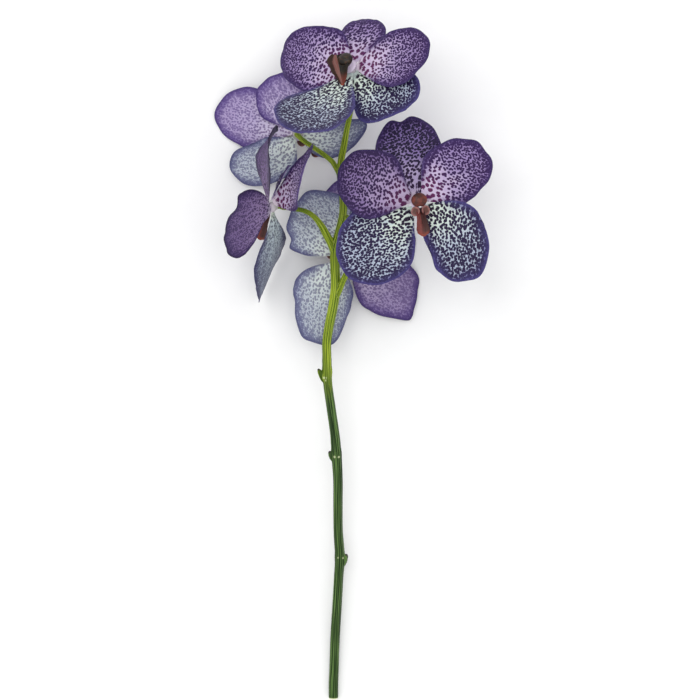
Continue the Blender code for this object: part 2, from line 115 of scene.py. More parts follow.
# Column, from its foot up: height, half width, half depth and shift towards the bloom's top
COLUMN_RINGS = (
    (0.0, 2.3, 2.0, 0.0), (2.4, 2.1, 1.9, 0.2), (4.2, 2.5, 2.3, 0.5), (5.4, 4.0, 3.4, 0.9),
    (7.0, 5.1, 4.5, 1.3), (8.6, 5.0, 4.4, 1.4), (10.0, 3.9, 3.5, 1.3), (10.9, 2.0, 1.8, 1.2),
)
BLOOMS = {
    "right": dict(
        middle=(43.4, 93.9, 66.0), facing=(0, 86), up=96,
        dorsal_sepal=dict(
            turn=96, bend=-14, sweep=-11, left=23.5, right=22, shoulder=0.5, blunt=1.15,
            notch=3.2, notch_at=-0.12, rise=-1.2, length=54, tone=0.25),
        petal_right=dict(
            turn=33, lift=11, bend=-20, sweep=-10, length=52, left=22.5, right=18.5, shoulder=0.4,
            blunt=0.7, lumps=((-22, 0.8, 12), (50, -0.6, 12))),
        petal_left=dict(
            turn=153, lift=11, bend=-18, sweep=-13, length=52.5, left=24.5, right=21.5, shoulder=0.5,
            flare=1.35, blunt=1.15, tone=0.45),
        lateral_sepal_right=dict(
            turn=-50, lift=17, bend=-8, sweep=-39, twist=1, roll=2, length=55.5, left=25.5, right=13,
            shoulder=0.4, flare=1.0, blunt=0.6, rise=1.2, frill=0.7,
            lumps=((45, 2.8, 16), (85, 0.6, 14), (-24, 0.9, 24))),
        lateral_sepal_left=dict(
            turn=220, sweep=-4, length=61.5, left=25.5, right=25.5, shoulder=0.5, flare=1.4,
            blunt=0.85, rise=-1.2),
        lip=dict(),
    ),
    "top": dict(
        middle=(0.6, 180.1, 61.0), facing=(135, 52), up=85,
        dorsal_sepal=dict(
            turn=98, bend=-17, sweep=-9, length=38.5, left=16, right=19, shoulder=0.55, blunt=1.0,
            twist=4, roll=2, rise=-1.2),
        petal_right=dict(
            turn=20, lift=11, bend=-19, sweep=-6, length=53, left=18, right=26.5, flare=1.0,
            blunt=0.95),
        petal_left=dict(
            turn=165, lift=11, bend=-15, sweep=1, length=54.5, left=25.5, right=22, shoulder=0.35,
            flare=0.7, blunt=1.05, twist=-5, roll=-4),
        lateral_sepal_right=dict(
            turn=-21, bend=-7, sweep=-6, length=54, left=17.5, right=27.5, flare=1.1,
            blunt=0.95, twist=-3, roll=-1, rise=-1.2, claw=4.0, lumps=((10, 1.0, 14), (75, 1.0, 20))),
        lateral_sepal_left=dict(
            turn=268, lift=17, bend=14, sweep=-26, length=64, left=32, right=27.5, shoulder=0.65,
            flare=1.85, blunt=0.95, twist=-1, roll=-1, rise=1.2, claw=4.5,
            lumps=((-60, 0.8, 15), (60, -0.8, 16))),
        boat=BOAT,
    ),
    "back": dict(
        middle=(-34.2, 142.6, 18.0), facing=(60, -76), up=130,
        dorsal_sepal=dict(
            turn=108, bend=-9, length=39, left=19, right=19, shoulder=0.5, flare=1.1, blunt=0.95,
            rise=-1.2),
        petal_right=dict(
            turn=54, lift=15.5, length=56.5, left=21.5, right=19, shoulder=0.55, sweep=3, blunt=0.95),
        petal_left=dict(turn=155, lift=11, length=50, left=20, right=20),
        lateral_sepal_right=dict(
            turn=-8, sweep=54, length=49, left=12.5, right=17.5, shoulder=0.35, blunt=0.55,
            twist=1, roll=-1, rise=-1.2),
        lateral_sepal_left=dict(
            turn=232, bend=-3, sweep=-46, length=43.5, left=15.5, right=9, shoulder=0.4, flare=0.7,
            blunt=1.6, roll=-2, rise=-1.2),
        lip=dict(lift=50, length=19),
    ),
    "low": dict(
        middle=(-4.6, 61.2, 18.6), facing=(190, -79), up=15,
        dorsal_sepal=dict(turn=84, lift=10.4, bend=-5, length=50, left=20, right=20, rise=2.0),
        petal_right=dict(turn=25, lift=11, length=50, left=20, right=20),
        petal_left=dict(
            turn=141, lift=11, bend=-7, sweep=-8, twist=-2, length=57.5, left=19, right=25.5,
            shoulder=0.5, flare=1.45, blunt=1.15, tone=0.4,
            lumps=((-18, 2.2, 10), (12, -0.8, 14), (40, 1.0, 14))),
        lateral_sepal_right=dict(
            turn=-15, bend=-9, sweep=-10, length=45.5, left=24, right=26, shoulder=0.45, flare=0.7,
            blunt=1.05, rise=-1.2, lumps=((72, -1.2, 9), (92, 1.6, 8), (-40, -0.8, 14))),
        lateral_sepal_left=dict(
            turn=222, bend=-9, sweep=-33, twist=1, roll=-1, length=57, left=23.5, right=16,
            shoulder=0.35, flare=1.15, blunt=0.8, rise=-1.2,
            lumps=((-35, 1.6, 12), (-70, -1.4, 12), (-100, 1.2, 14), (40, -1.0, 18))),
        lip=dict(turn=-125, lift=62, bend=-30, length=17, reach=3.2),
    ),
    "side": dict(
        middle=(-51.2, 92.8, 42.0), facing=(190, 8), up=100,
        dorsal_sepal=dict(
            turn=66, lift=2, bend=-44, kink=1.6, sweep=20, twist=-29, roll=11, length=52.5, left=23.5,
            right=17, flare=1.45, blunt=0.95, cup=12, rise=1.4, tone=0.6),
        petal_right=dict(
            turn=39, lift=-38, bend=21, sweep=-9, twist=-37, roll=14, length=55, left=10.5, right=30,
            shoulder=0.65, flare=0.9, blunt=0.75, cup=12, rise=-1.6),
        petal_left=dict(
            turn=76, lift=-31, bend=-10, roll=-10, length=28, left=12, right=9, cup=12, rise=-0.1),
        lateral_sepal_right=dict(
            turn=-22, lift=46, bend=7, sweep=-7, twist=-11, roll=-7, length=47, left=22, right=26.5,
            flare=0.7, shoulder=0.55, blunt=0.95, cup=12, rise=0.6,
            lumps=((-44, -1.8, 13), (-70, 0.8, 12), (95, -1.0, 16)), nick=(146, 0.82, 42)),
        lateral_sepal_left=dict(
            turn=-108, lift=4, bend=28, sweep=-4, twist=-24, roll=44, length=63.5, left=22.5,
            right=26.5, shoulder=0.55, flare=1.55, blunt=1.25, cup=12, rise=-0.6,
            lumps=((20, 1.4, 9), (38, -1.2, 9), (-60, 0.8, 10))),
        lip=dict(turn=-96, lift=29, bend=-14, roll=-66, length=19, wide=1.1),
    ),
}
BLADES = ("dorsal_sepal", "petal_left", "petal_right", "lateral_sepal_left", "lateral_sepal_right")

# Stem and pedicels: place of the middle line and radius, the end that is cut or in the stem first
STEM = (
    (-11.0, -232.0, 2.95, 3.1), (-11.0, -222.0, 2.95, 3.1), (-10.6, -212.0, 3.3, 3.05),
    (-10.0, -192.0, 5.5, 3.1), (-8.6, -168.0, 8.5, 3.1), (-7.6, -150.0, 11.0, 3.1),
    (-6.8, -137.0, 13.0, 3.35), (-7.9, -119.0, 15.6, 3.05), (-8.0, -100.0, 18.2, 3.1),
    (-8.0, -85.0, 20.2, 3.15), (-9.0, -67.5, 22.6, 3.4), (-10.0, -55.0, 24.2, 3.05),
    (-12.4, -38.0, 26.6, 2.95), (-14.6, -22.0, 28.8, 2.9), (-15.0, -13.0, 30.0, 3.2),
    (-15.2, -3.0, 31.2, 2.9), (-15.2, 5.0, 32.1, 2.9), (-13.8, 15.0, 33.3, 3.0),
    (-11.0, 29.0, 34.7, 3.1), (-9.4, 42.0, 35.8, 3.1), (-9.8, 53.0, 36.5, 3.0), (-9.9, 64.0, 37.0, 2.9),
    (-7.4, 76.0, 37.6, 2.6), (-4.6, 88.0, 38.0, 2.5), (-4.6, 100.0, 38.6, 2.4), (-6.6, 116.0, 39.6, 2.3),
)
PEDICELS = {
    "right": (
        (-10.6, 32.0, 35.0, 2.2), (-7.0, 39.0, 37.5, 2.1), (-3.6, 47.0, 40.5, 2.0),
        (2.0, 56.0, 44.0, 1.9), (12.0, 67.0, 48.0, 1.8), (26.0, 79.0, 52.5, 1.7),
        (38.0, 89.0, 57.0, 1.7),
    ),
    "top": (
        (-6.4, 115.0, 39.5, 2.2), (-5.8, 123.0, 41.0, 2.2), (-4.2, 131.0, 43.0, 2.2),
        (-2.2, 142.0, 45.6, 1.9), (0.0, 152.0, 48.2, 1.7), (2.2, 163.0, 51.2, 1.6),
        (3.4, 172.0, 54.0, 1.6),
    ),
    "back": (
        (-6.6, 114.0, 39.4, 1.9), (-9.0, 118.5, 39.0, 1.8), (-12.0, 123.0, 37.6, 1.7),
        (-17.8, 128.0, 34.6, 1.6), (-25.6, 133.6, 30.6, 1.6), (-31.4, 138.0, 27.0, 1.6),
    ),
    "low": (
        (-4.6, 88.0, 38.0, 1.9), (-1.0, 85.0, 38.4, 1.8), (2.2, 78.0, 37.4, 1.7), (1.6, 70.0, 33.6, 1.6),
        (-1.6, 64.0, 28.6, 1.6),
    ),
    "side": (
        (-9.9, 62.0, 36.9, 2.4), (-12.2, 69.0, 37.8, 2.6), (-16.0, 76.2, 39.0, 2.5),
        (-19.2, 81.6, 39.8, 2.1), (-23.8, 87.0, 40.4, 1.7), (-29.6, 90.4, 40.8, 1.6),
        (-37.4, 91.8, 41.0, 1.5), (-43.8, 92.6, 41.2, 1.5),
    ),
}
# Bracts: foot, the way the tip points, length and half thickness
BRACTS = (
    ((-16.6, -20.0, 29.2), (-0.55, 1.0, 0.25), 9.0, 2.1),
    ((-5.2, -142.0, 12.4), (0.45, 1.0, 0.1), 7.5, 2.2),
    ((-11.0, -72.0, 22.0), (-0.5, 1.0, 0.35), 6.5, 1.9),
)
# Marks on the stem: withered bract tips, pale scars and dots, each with its radius
WITHERED = ((-21.3, -11.6, 31.4, 1.9), (-13.7, -66.8, 24.1, 1.0), (-2.3, -135.6, 13.2, 1.0))
PALE_MARKS = (
    (-17.0, -18.2, 31.8, 0.7), (-16.2, -20.0, 32.2, 0.6), (-15.3, -18.4, 33.0, 0.7),
    (-10.2, -70.2, 25.5, 0.7), (-7.4, -70.2, 25.2, 0.6), (-4.4, -137.4, 16.0, 0.6), (-8.0, -137.2, 16.6, 0.5))
# How far along a bract, and how thick it is there
BRACT_TAPER = ((0.0, 0.9), (0.2, 1.0), (0.45, 0.92), (0.7, 0.68), (0.9, 0.42), (1.0, 0.2))
# Places of the nodes along the stem, from the cut end, and how each swells and is pinched after it
NODES = (95.6, 165.5, 220.2)
NODE_SHAPE = ((0.18, 0.0, 2.2), (-0.12, 4.5, 1.6))      # height, how far past the node, length
RIBS = ((0.13, 7, 0.012, 0.0), (0.07, 12, -0.02, 1.0))  # height, number, twist and turn of the ribs
STEM_LEAD = 0.3             # how much nearer a pedicel has to be than the stem to colour the skin


def eased(value):
    """0 to 1 with a soft start and end."""
    value = np.clip(value, 0, 1)
    return value * value * (3 - 2 * value)


def smooth_table(shares, stations, values):
    """Values between stations, eased so that the outline has no corners."""
    shares = np.asarray(shares, float)
    stations = np.asarray(stations, float)
    values = np.asarray(values, float)
    i = np.clip(np.searchsorted(stations, shares, side="right") - 1, 0, len(stations) - 2)
    f = eased((shares - stations[i]) / (stations[i + 1] - stations[i]))
    f = f if values.ndim == 1 else f[..., None]
    return values[i] * (1 - f) + values[i + 1] * f


def turned(vector, axis, angle):
    """The vector turned about an axis of length one."""
    c = math.cos(angle)
    s = math.sin(angle)
    return vector * c + np.cross(axis, vector) * s + axis * (axis @ vector) * (1 - c)


def midrib(blade):
    """Places, normals and right-hand directions along the midrib, in the bloom's frame."""
    angle = math.radians(blade["turn"])
    lift = math.radians(blade["lift"])
    out = np.array([math.cos(angle), math.sin(angle), 0.0])
    front = np.array([0.0, 0.0, 1.0])
    tangent = out * math.cos(lift) + front * math.sin(lift)
    normal = front * math.cos(lift) - out * math.sin(lift)
    side = np.cross(tangent, normal)
    roll = math.radians(blade["roll"])
    normal = turned(normal, tangent, roll)
    side = turned(side, tangent, roll)
    place = out * blade["reach"] + front * blade["rise"]
    step = blade["length"] / PATH_STEPS
    places = []
    normals = []
    sides = []
    for i in range(PATH_STEPS + 1):
        places.append(place)
        normals.append(normal)
        sides.append(side)
        share = blade["kink"] * ((i + 0.5) / PATH_STEPS) ** (blade["kink"] - 1) / PATH_STEPS
        turns = (
            (side, blade["bend"]),
            (normal, blade["sweep"]),
            (tangent, blade["twist"]),
        )
        for axis, degrees in turns:
            amount = math.radians(degrees) * share
            tangent = turned(tangent, axis, amount)
            normal = turned(normal, axis, amount)
            side = turned(side, axis, amount)
        place = place + tangent * step
    return np.array(places), np.array(normals), np.array(sides)


def blade_flat(u, t, blade):
    """Flattened place (across, along) of a point: u from -1 left to 1 right, t from 0 base to 1 rim."""
    middle = (blade["left"] + blade["right"]) / 2
    lean = (blade["right"] - blade["left"]) / 2
    side = middle + lean * np.sin(np.pi / 2 * u)
    half = blade["claw"] + (side - blade["claw"]) * np.sin(np.pi / 2 * t) ** blade["flare"]
    k = np.maximum(t, 0.05)
    across = half * np.sin(np.pi / 2 * u * k) / np.sin(np.pi / 2 * k)
    shoulder = blade["shoulder"] * blade["length"]
    crown = np.clip(np.cos(np.pi / 2 * u), 0, 1) ** blade["blunt"]
    along = shoulder * t + (blade["length"] - shoulder) * t ** 2 * crown
    notch = blade["notch"] * t ** 6 * np.exp(-(((u - blade["notch_at"]) / NOTCH_WIDTH) ** 2))
    return across, along - notch


def rim_share(u, t):
    """1 on the rim of a blade, 0 well inside it and at its foot."""
    return (1 - (1 - u ** 2) * (1 - t ** 4)) ** 2 * t


def wrap(across, along, curl, relief, blade):
    """Points of a flattened outline bent along the midrib, its sides curled up on a round section."""
    places, normals, sides = midrib(blade)
    s = np.clip(along / blade["length"], 0, 1) * PATH_STEPS
    i = np.minimum(s.astype(int), PATH_STEPS - 1)
    f = (s - i)[..., None]
    place = places[i] * (1 - f) + places[i + 1] * f
    normal = normals[i] * (1 - f) + normals[i + 1] * f
    side = sides[i] * (1 - f) + sides[i + 1] * f
    curl = np.where(np.abs(curl) < 1e-6, 1e-6, curl)
    reach = across * np.sin(curl) / curl
    height = across * (1 - np.cos(curl)) / curl + relief
    return place + side * reach[..., None] + normal * height[..., None]


def bloom_axes(bloom):
    """Right, up and front of a bloom, in rows."""
    compass, height = (math.radians(v) for v in bloom["facing"])
    lean = math.radians(bloom["up"])
    flat = math.cos(height)
    front = np.array([math.cos(compass) * flat, math.sin(compass) * flat, math.sin(height)])
    hint = np.array([math.cos(lean), math.sin(lean), 0.0])
    up = hint - (hint @ front) * front
    up = up / np.linalg.norm(up)
    return np.array([np.cross(up, front), up, front])


def in_place(points, bloom):
    """Points of a bloom's frame in the frame of the part, in millimetres."""
    return points @ bloom_axes(bloom) + np.array(bloom["middle"]) - FOOTPRINT_MIDDLE


def vertex_places(obj):
    places = np.zeros(len(obj.data.vertices) * 3)
    obj.data.vertices.foreach_get("co", places)
    return places.reshape(-1, 3)


def vertex_normals(obj):
    normals = np.zeros(len(obj.data.vertices) * 3)
    obj.data.vertices.foreach_get("normal", normals)
    return normals.reshape(-1, 3)


def move_vertices(obj, places):
    obj.data.vertices.foreach_set("co", np.asarray(places, float).ravel())
    obj.data.update()


def keep_values(obj, name, values):
    """Values kept on the vertices for the materials: one number or three for each."""
    values = np.asarray(values, float)
    kind = "FLOAT" if values.ndim == 1 else "FLOAT_VECTOR"
    attribute = obj.data.attributes.get(name) or obj.data.attributes.new(name, kind, "POINT")
    attribute.data.foreach_set("value" if values.ndim == 1 else "vector", values.ravel())


def new_grid(name, cells):
    """A square grid from -1 to 1 both ways."""
    bpy.ops.object.select_all(action="DESELECT")
    bpy.ops.mesh.primitive_grid_add(x_subdivisions=cells[0], y_subdivisions=cells[1], size=2)
    obj = bpy.context.object
    obj.name = name
    obj.data.name = name
    return obj


def grid_shares(obj):
    """Where the vertices of a new grid lie: -1 left to 1 right, and 0 at the foot to 1 at the end."""
    square = vertex_places(obj)
    return np.clip(square[:, 0], -1, 1), np.clip((square[:, 1] + 1) / 2, 0, 1)


def new_ball(segments, rings):
    """A ball of radius one, and the places of its vertices."""
    bpy.ops.object.select_all(action="DESELECT")
    bpy.ops.mesh.primitive_uv_sphere_add(segments=segments, ring_count=rings, radius=1)
    obj = bpy.context.object
    return obj, vertex_places(obj)


def thicken(obj, thick, rim, inner):
    """Gives a sheet its thickness, thinned to that of the rim where inner is 0, and marks its two sides."""
    middle = vertex_places(obj)
    count = len(middle)
    normals = vertex_normals(obj)
    modifier = obj.modifiers.new("thickness", "SOLIDIFY")
    modifier.thickness = thick * MM
    modifier.offset = 0.0
    modifier.use_even_offset = False
    group = obj.vertex_groups.new(name="thickness")
    for i in range(count):
        group.add([i], float(inner[i]), "REPLACE")
    modifier.vertex_group = "thickness"
    modifier.thickness_vertex_group = rim / thick
    bpy.context.view_layer.objects.active = obj
    bpy.ops.object.modifier_apply(modifier=modifier.name)
    places = vertex_places(obj)
    which = np.arange(len(places)) % count
    front = ((places - middle[which]) * normals[which]).sum(1) > 0
    keep_values(obj, "side", front.astype(float))


def smooth(obj, degrees=50):
    bpy.ops.object.select_all(action="DESELECT")
    obj.select_set(True)
    bpy.context.view_layer.objects.active = obj
    bpy.ops.object.shade_smooth_by_angle(angle=math.radians(degrees))


def joined(pieces, name):
    """Several meshes made one piece."""
    bpy.ops.object.select_all(action="DESELECT")
    for piece in pieces:
        piece.select_set(True)
    bpy.context.view_layer.objects.active = pieces[0]
    bpy.ops.object.join()
    obj = bpy.context.object
    obj.name = name
    obj.data.name = name
    return obj


def finished(obj, material, node):
    """Puts the material on a piece and lets it stand for its node of the frame."""
    obj.data.materials.clear()
    obj.data.materials.append(material)
    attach(obj, "root")
    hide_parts(node)
    return obj


def rim_distance(across, along, blade):
    """Distance of flattened points to the outline of their blade, its foot left open."""
    t = np.linspace(0, 1, OUTLINE_STEPS)
    u = np.linspace(-1, 1, OUTLINE_STEPS)
    ones = np.ones(OUTLINE_STEPS)
    edges = [blade_flat(-ones, t, blade), blade_flat(ones, t, blade), blade_flat(u, ones, blade)]
    outline = np.concatenate([np.stack(edge, 1) for edge in edges])
    points = np.stack([across, along], 1)
    return np.sqrt(((points[:, None] - outline[None]) ** 2).sum(2).min(1))


def spot_places(across, along, seed, power):
    """Places in which spots of one size come out large near the foot and small towards the rim."""
    even_at = 24.0
    before_foot = 3.0
    squeeze = 1.3
    own_place = 190.0 * seed
    own_noise = np.full(len(across), 61.0 * seed)
    plane = across + 1j * (along + before_foot)
    plane = plane ** power / (power * even_at ** (power - 1))
    return np.stack([squeeze * plane.real + own_place, plane.imag, own_noise], 1)


def make_blade(bloom_name, kind, number, material):
    """One sepal or petal: a thin leaf with a creased midrib, faint veins and a waved rim."""
    bloom = BLOOMS[bloom_name]
    blade = {**BLADE, **bloom[kind]}
    obj = new_grid(f"{bloom_name}_{kind}_leaf", BLADE_CELLS)
    u, t = grid_shares(obj)
    across, along = blade_flat(u, t, blade)
    rim = rim_distance(across, along, blade)
    seed = number * 0.137
    around = np.arctan2(across, along - 0.45 * blade["length"])
    share = rim_share(u, t)
    wander = np.sin(5 * around + 9 * seed) + 0.6 * np.sin(11 * around + 23 * seed)
    shrink = 1 - blade["scallop"] * share * (0.5 + 0.4 * wander) / blade["length"] * 2
    for turn, height, width in blade["lumps"]:
        apart = (around - math.radians(turn) + np.pi) % (2 * np.pi) - np.pi
        shrink = shrink + 2 * height / blade["length"] * share * np.exp(-((apart / math.radians(width)) ** 2))
    turn, depth, width = blade["nick"]
    bay = depth * u ** 2 * np.exp(-(((around - math.radians(turn)) / math.radians(width)) ** 2))
    across = across * shrink * (1 - bay)
    along = along * shrink
    relief = blade["wave"] * share * np.sin(blade["waves"] * around)
    frill = np.sin(blade["frills"] * around + 31 * seed) + 0.5 * np.sin(2.3 * blade["frills"] * around)
    relief = relief + blade["frill"] * share ** 2 * frill
    relief = relief - blade["hem"] * np.exp(-rim / HEM_WIDTH) * eased(t * 2.5)
    inside = eased(t / 0.15) * eased((1 - t) / 0.35)
    relief = relief - blade["crease"] * np.exp(-((across / CREASE_WIDTH) ** 2)) * inside
    relief = relief + VEIN_HEIGHT * np.cos(u * VEIN_WAVES) * inside * (1 - share)
    curl = math.radians(blade["cup"]) * across / max(blade["left"], blade["right"])
    points = in_place(wrap(across, along, curl, relief, blade), bloom)
    move_vertices(obj, points * MM)
    power = LATERAL_SPREAD if kind.startswith("lateral") else PETAL_SPREAD
    keep_values(obj, "spots", spot_places(across, along, seed, power))
    keep_values(obj, "mottle", spot_places(across, along, seed, BACK_SPREAD))
    keep_values(obj, "fan", np.stack([u, t, rim], 1))
    keep_values(obj, "tone", np.full(len(u), blade["tone"]))
    thicken(obj, BLADE_THICK, BLADE_RIM_THICK, eased(rim / RIM_BAND))
    places = vertex_places(obj)
    places[:, 2] = np.maximum(places[:, 2], 0.0)
    move_vertices(obj, places)
    smooth(obj)
    return finished(obj, material, f"{bloom_name}_{kind}")


class Level:
    """A node's output that can be used in formulas."""

    def __init__(self, finish, socket):
        self.finish = finish
        self.socket = socket

    def math(self, operation, first, second):
        return self.finish.node("ShaderNodeMath", {"operation": operation}, {0: first, 1: second})

    def __add__(self, other):
        return self.math("ADD", self, other)

    def __radd__(self, other):
        return self.math("ADD", other, self)

    def __sub__(self, other):
        return self.math("SUBTRACT", self, other)

    def __rsub__(self, other):
        return self.math("SUBTRACT", other, self)

    def __mul__(self, other):
        return self.math("MULTIPLY", self, other)

    def __rmul__(self, other):
        return self.math("MULTIPLY", other, self)


def colour(red, green, blue):
    """A screen colour, 0 to 255, as the shader wants it."""
    def light(v):
        v = v / 255
        return v / 12.92 if v <= 0.04045 else ((v + 0.055) / 1.055) ** 2.4
    return (light(red), light(green), light(blue), 1.0)


class Finish:
    """One material, built node by node on its Principled shader."""

    def __init__(self, name, **constants):
        self.material = bpy.data.materials.new(name)
        self.material.use_nodes = True
        self.tree = self.material.node_tree
        self.shader = next(n for n in self.tree.nodes if n.type == "BSDF_PRINCIPLED")
        for key, value in constants.items():
            self.shader.inputs[key.replace("_", " ")].default_value = value

    def node(self, kind, settings, sockets, output=0):
        """A new node: its settings first, then the values or links of its sockets."""
        node = self.tree.nodes.new(kind)
        for key, value in settings.items():
            setattr(node, key, value)
        for key, value in sockets.items():
            self.feed(node.inputs[key], value)
        return Level(self, node.outputs[output])

    def feed(self, socket, value):
        if isinstance(value, Level):
            self.tree.links.new(value.socket, socket)
        else:
            socket.default_value = value

    def kept(self, name, output="Vector"):
        """Values that were kept on the vertices."""
        return self.node("ShaderNodeAttribute", {"attribute_name": name}, {}, output)

    def place(self):
        """The place on the piece, in metres."""
        return self.node("ShaderNodeTexCoord", {}, {}, "Object")

    def parts(self, vector):
        """The three numbers of a vector."""
        node = self.node("ShaderNodeSeparateXYZ", {}, {0: vector}).socket.node
        return [Level(self, socket) for socket in node.outputs]

    def vector(self, x, y, z):
        return self.node("ShaderNodeCombineXYZ", {}, {0: x, 1: y, 2: z})

    def blend(self, factor, first, second):
        return self.node("ShaderNodeMix", {"data_type": "RGBA"}, {0: factor, 6: first, 7: second}, 2)

    def times(self, first, second):
        settings = {"data_type": "RGBA", "blend_type": "MULTIPLY"}
        return self.node("ShaderNodeMix", settings, {0: 1.0, 6: first, 7: second}, 2)

    def step(self, value, low, high):
        """0 where the value is under low, 1 where it is over high, eased between."""
        settings = {"interpolation_type": "SMOOTHSTEP"}
        return self.node("ShaderNodeMapRange", settings, {0: value, 1: low, 2: high, 3: 0.0, 4: 1.0})

    def noise(self, vector, scale, detail=2.0, output=0):
        sockets = {"Vector": vector, "Scale": scale, "Detail": detail}
        return self.node("ShaderNodeTexNoise", {}, sockets, output)

    def cells(self, vector, scale, randomness):
        """Distance to the nearest of many scattered points."""
        sockets = {"Vector": vector, "Scale": scale, "Randomness": randomness}
        return self.node("ShaderNodeTexVoronoi", {"voronoi_dimensions": "2D"}, sockets)

    def moved(self, vector, scale, amount):
        """The vector pushed about by a soft noise."""
        push = self.noise(vector, scale, 1.0, 1)
        kind = "ShaderNodeVectorMath"
        push = self.node(kind, {"operation": "SUBTRACT"}, {0: push, 1: (0.5, 0.5, 0.5)})
        push = self.node(kind, {"operation": "SCALE"}, {0: push, "Scale": amount})
        return self.node(kind, {"operation": "ADD"}, {0: vector, 1: push})

    def painted(self, base, roughness, height, strength, distance):
        """The material, once its colour, roughness and fine relief are joined to the shader."""
        sockets = {"Height": height, "Strength": strength, "Distance": distance}
        self.feed(self.shader.inputs["Base Color"], base)
        self.feed(self.shader.inputs["Roughness"], roughness)
        self.feed(self.shader.inputs["Normal"], self.node("ShaderNodeBump", {}, sockets))
        return self.material


def spotted_skin(name, front, back):
    """Sepal or petal: spots that shrink and join into chains outwards, and a dark margin."""
    skin = Finish(name, Roughness=0.5, Specular_IOR_Level=0.22)
    spots = skin.kept("spots")
    mottle = skin.kept("mottle")
    u, t, rim = skin.parts(skin.kept("fan"))
    side = skin.kept("side", "Fac")
    seed = skin.parts(spots)[2]
    tone = skin.kept("tone", "Fac")
    soft = skin.noise(spots, 0.09, 2.0)
    veins = skin.noise(skin.vector(u * 15.0, t * 3.0, seed), 1.0, 2.0)
    patchy = skin.noise(spots, 0.28, 2.0)
    fine = skin.cells(skin.moved(spots, 1.2, 0.7), 1.05, 1.0)
    outer = skin.step(t, 0.42, 0.95)
    foot = skin.step(t, 0.45, 0.1)
    margin = skin.step(rim + (soft - 0.5) * 7.0, 7.0, 0.5) * skin.step(t, 0.25, 0.6)
    edge = skin.step(rim + (patchy - 0.5) * 2.0, 2.4, 0.2) * skin.step(t, 0.15, 0.4)

    def face(look):
        cells = skin.cells(skin.moved(mottle if look["back"] else spots, 0.5, 0.8), look["cells"], 0.88)
        size = look["size"] + (patchy - 0.5) * 0.3 + outer * look["crowd"] + margin * 0.12
        size = size + (veins - 0.5) * (look["chains"] + foot * look["streaks"])
        blot = skin.step(size - cells, -look["edge"], look["edge"])
        blot = blot * skin.step(t + (veins - 0.5) * 0.1, look["clear"] * 0.5, look["clear"])
        small = skin.step(look["fleck"] + outer * 0.16 + (veins - 0.5) * 0.6 - fine, -0.08, 0.08)
        small = small * skin.step(t, 0.4, 0.8) * look["flecks"]
        both = 1.0 - (1.0 - blot) * (1.0 - small)
        ground = skin.blend(skin.step(t + (soft - 0.5) * 0.5, 0.25, 0.9), look["ground"], look["outer"])
        ground = skin.blend(skin.step(t, 0.2, 0.02), ground, look["foot"])
        ground = skin.blend(skin.step(patchy, 0.5, 0.72) * 0.55, ground, look["shade"])
        ground = skin.blend(margin * look["margin_share"], ground, look["margin_light"])
        mark = skin.blend(skin.step(t + (soft - 0.5) * 0.4, 0.2, 0.65), look["spot"], look["spot_outer"])
        spotted = skin.blend(both * look["strength"], ground, mark)
        dusk = margin * skin.step(fine, 0.75, 0.3) * look["margin_share"]
        spotted = skin.blend(dusk, spotted, look["margin"])
        return skin.blend(edge * 0.8, spotted, look["rim"])

    base = skin.blend(side, face(back), face(front))
    base = skin.times(base, skin.blend(tone, colour(255, 255, 255), colour(168, 150, 176)))
    ribs = skin.noise(skin.vector(u * 46.0, t * 3.0, seed), 1.0, 1.0)
    grain = skin.noise(spots, 2.4, 2.0)
    return skin.painted(base, 0.42 + grain * 0.2, ribs * 0.7 + grain * 0.3, 0.5, 0.0008)


# A pattern of spots:
#   back             on the back of a blade the spots are nearly even in size
#   cells, size      how many there are to a length, and how large they are
#   chains, streaks  how far they join along the veins, everywhere and at the foot
#   clear, crowd     where they begin, and how much larger they grow outwards
#   edge             how soft their outline is
#   fleck, flecks    size and strength of the specks between them
#   strength         how strongly the spots show
#   ground, outer, foot, shade                 colours under them: inside, outwards, at the foot, in patches
#   spot, spot_outer                           their own colours, inside and outwards
#   margin, margin_light, margin_share, rim    the margin's dark and light colour and its share, and the rim
FRONT = dict(back=False, edge=0.03, flecks=0.6, strength=1.0)
BACK = dict(
    back=True, cells=0.46, size=0.36, chains=0.6, streaks=0.2, clear=0.05, edge=0.06, fleck=0.26,
    flecks=0.8, strength=0.7)
PETAL_FRONT = dict(
    FRONT, cells=0.43, size=0.39, chains=0.34, streaks=0.3, clear=0.1, crowd=0.1, fleck=0.16,
    ground=colour(200, 184, 212), outer=colour(148, 126, 178), foot=colour(222, 208, 220),
    shade=colour(166, 142, 190), spot=colour(92, 32, 82), spot_outer=colour(42, 16, 70),
    margin=colour(56, 34, 90), margin_light=colour(114, 90, 152), margin_share=0.8,
    rim=colour(52, 36, 88))
DORSAL_FRONT = dict(
    PETAL_FRONT, size=0.42, streaks=0.9, ground=colour(178, 164, 198), outer=colour(128, 108, 166),
    shade=colour(140, 116, 176), spot=colour(40, 14, 56), spot_outer=colour(24, 8, 50))
SEPAL_FRONT = dict(
    FRONT, cells=0.48, size=0.47, chains=0.5, streaks=0.9, clear=0.11, crowd=0.06, fleck=0.18,
    ground=colour(208, 220, 210), outer=colour(172, 182, 204), foot=colour(196, 210, 206),
    shade=colour(164, 178, 196), spot=colour(30, 16, 40), spot_outer=colour(30, 18, 58),
    margin=colour(52, 46, 96), margin_light=colour(112, 108, 164), margin_share=0.9,
    rim=colour(66, 58, 118))
PETAL_BACK = dict(
    BACK, crowd=0.04,
    ground=colour(206, 196, 222), outer=colour(176, 160, 202), foot=colour(216, 208, 220),
    shade=colour(186, 170, 208), spot=colour(98, 62, 124), spot_outer=colour(78, 54, 118),
    margin=colour(78, 58, 124), margin_light=colour(118, 98, 162), margin_share=0.8,
    rim=colour(62, 44, 104))
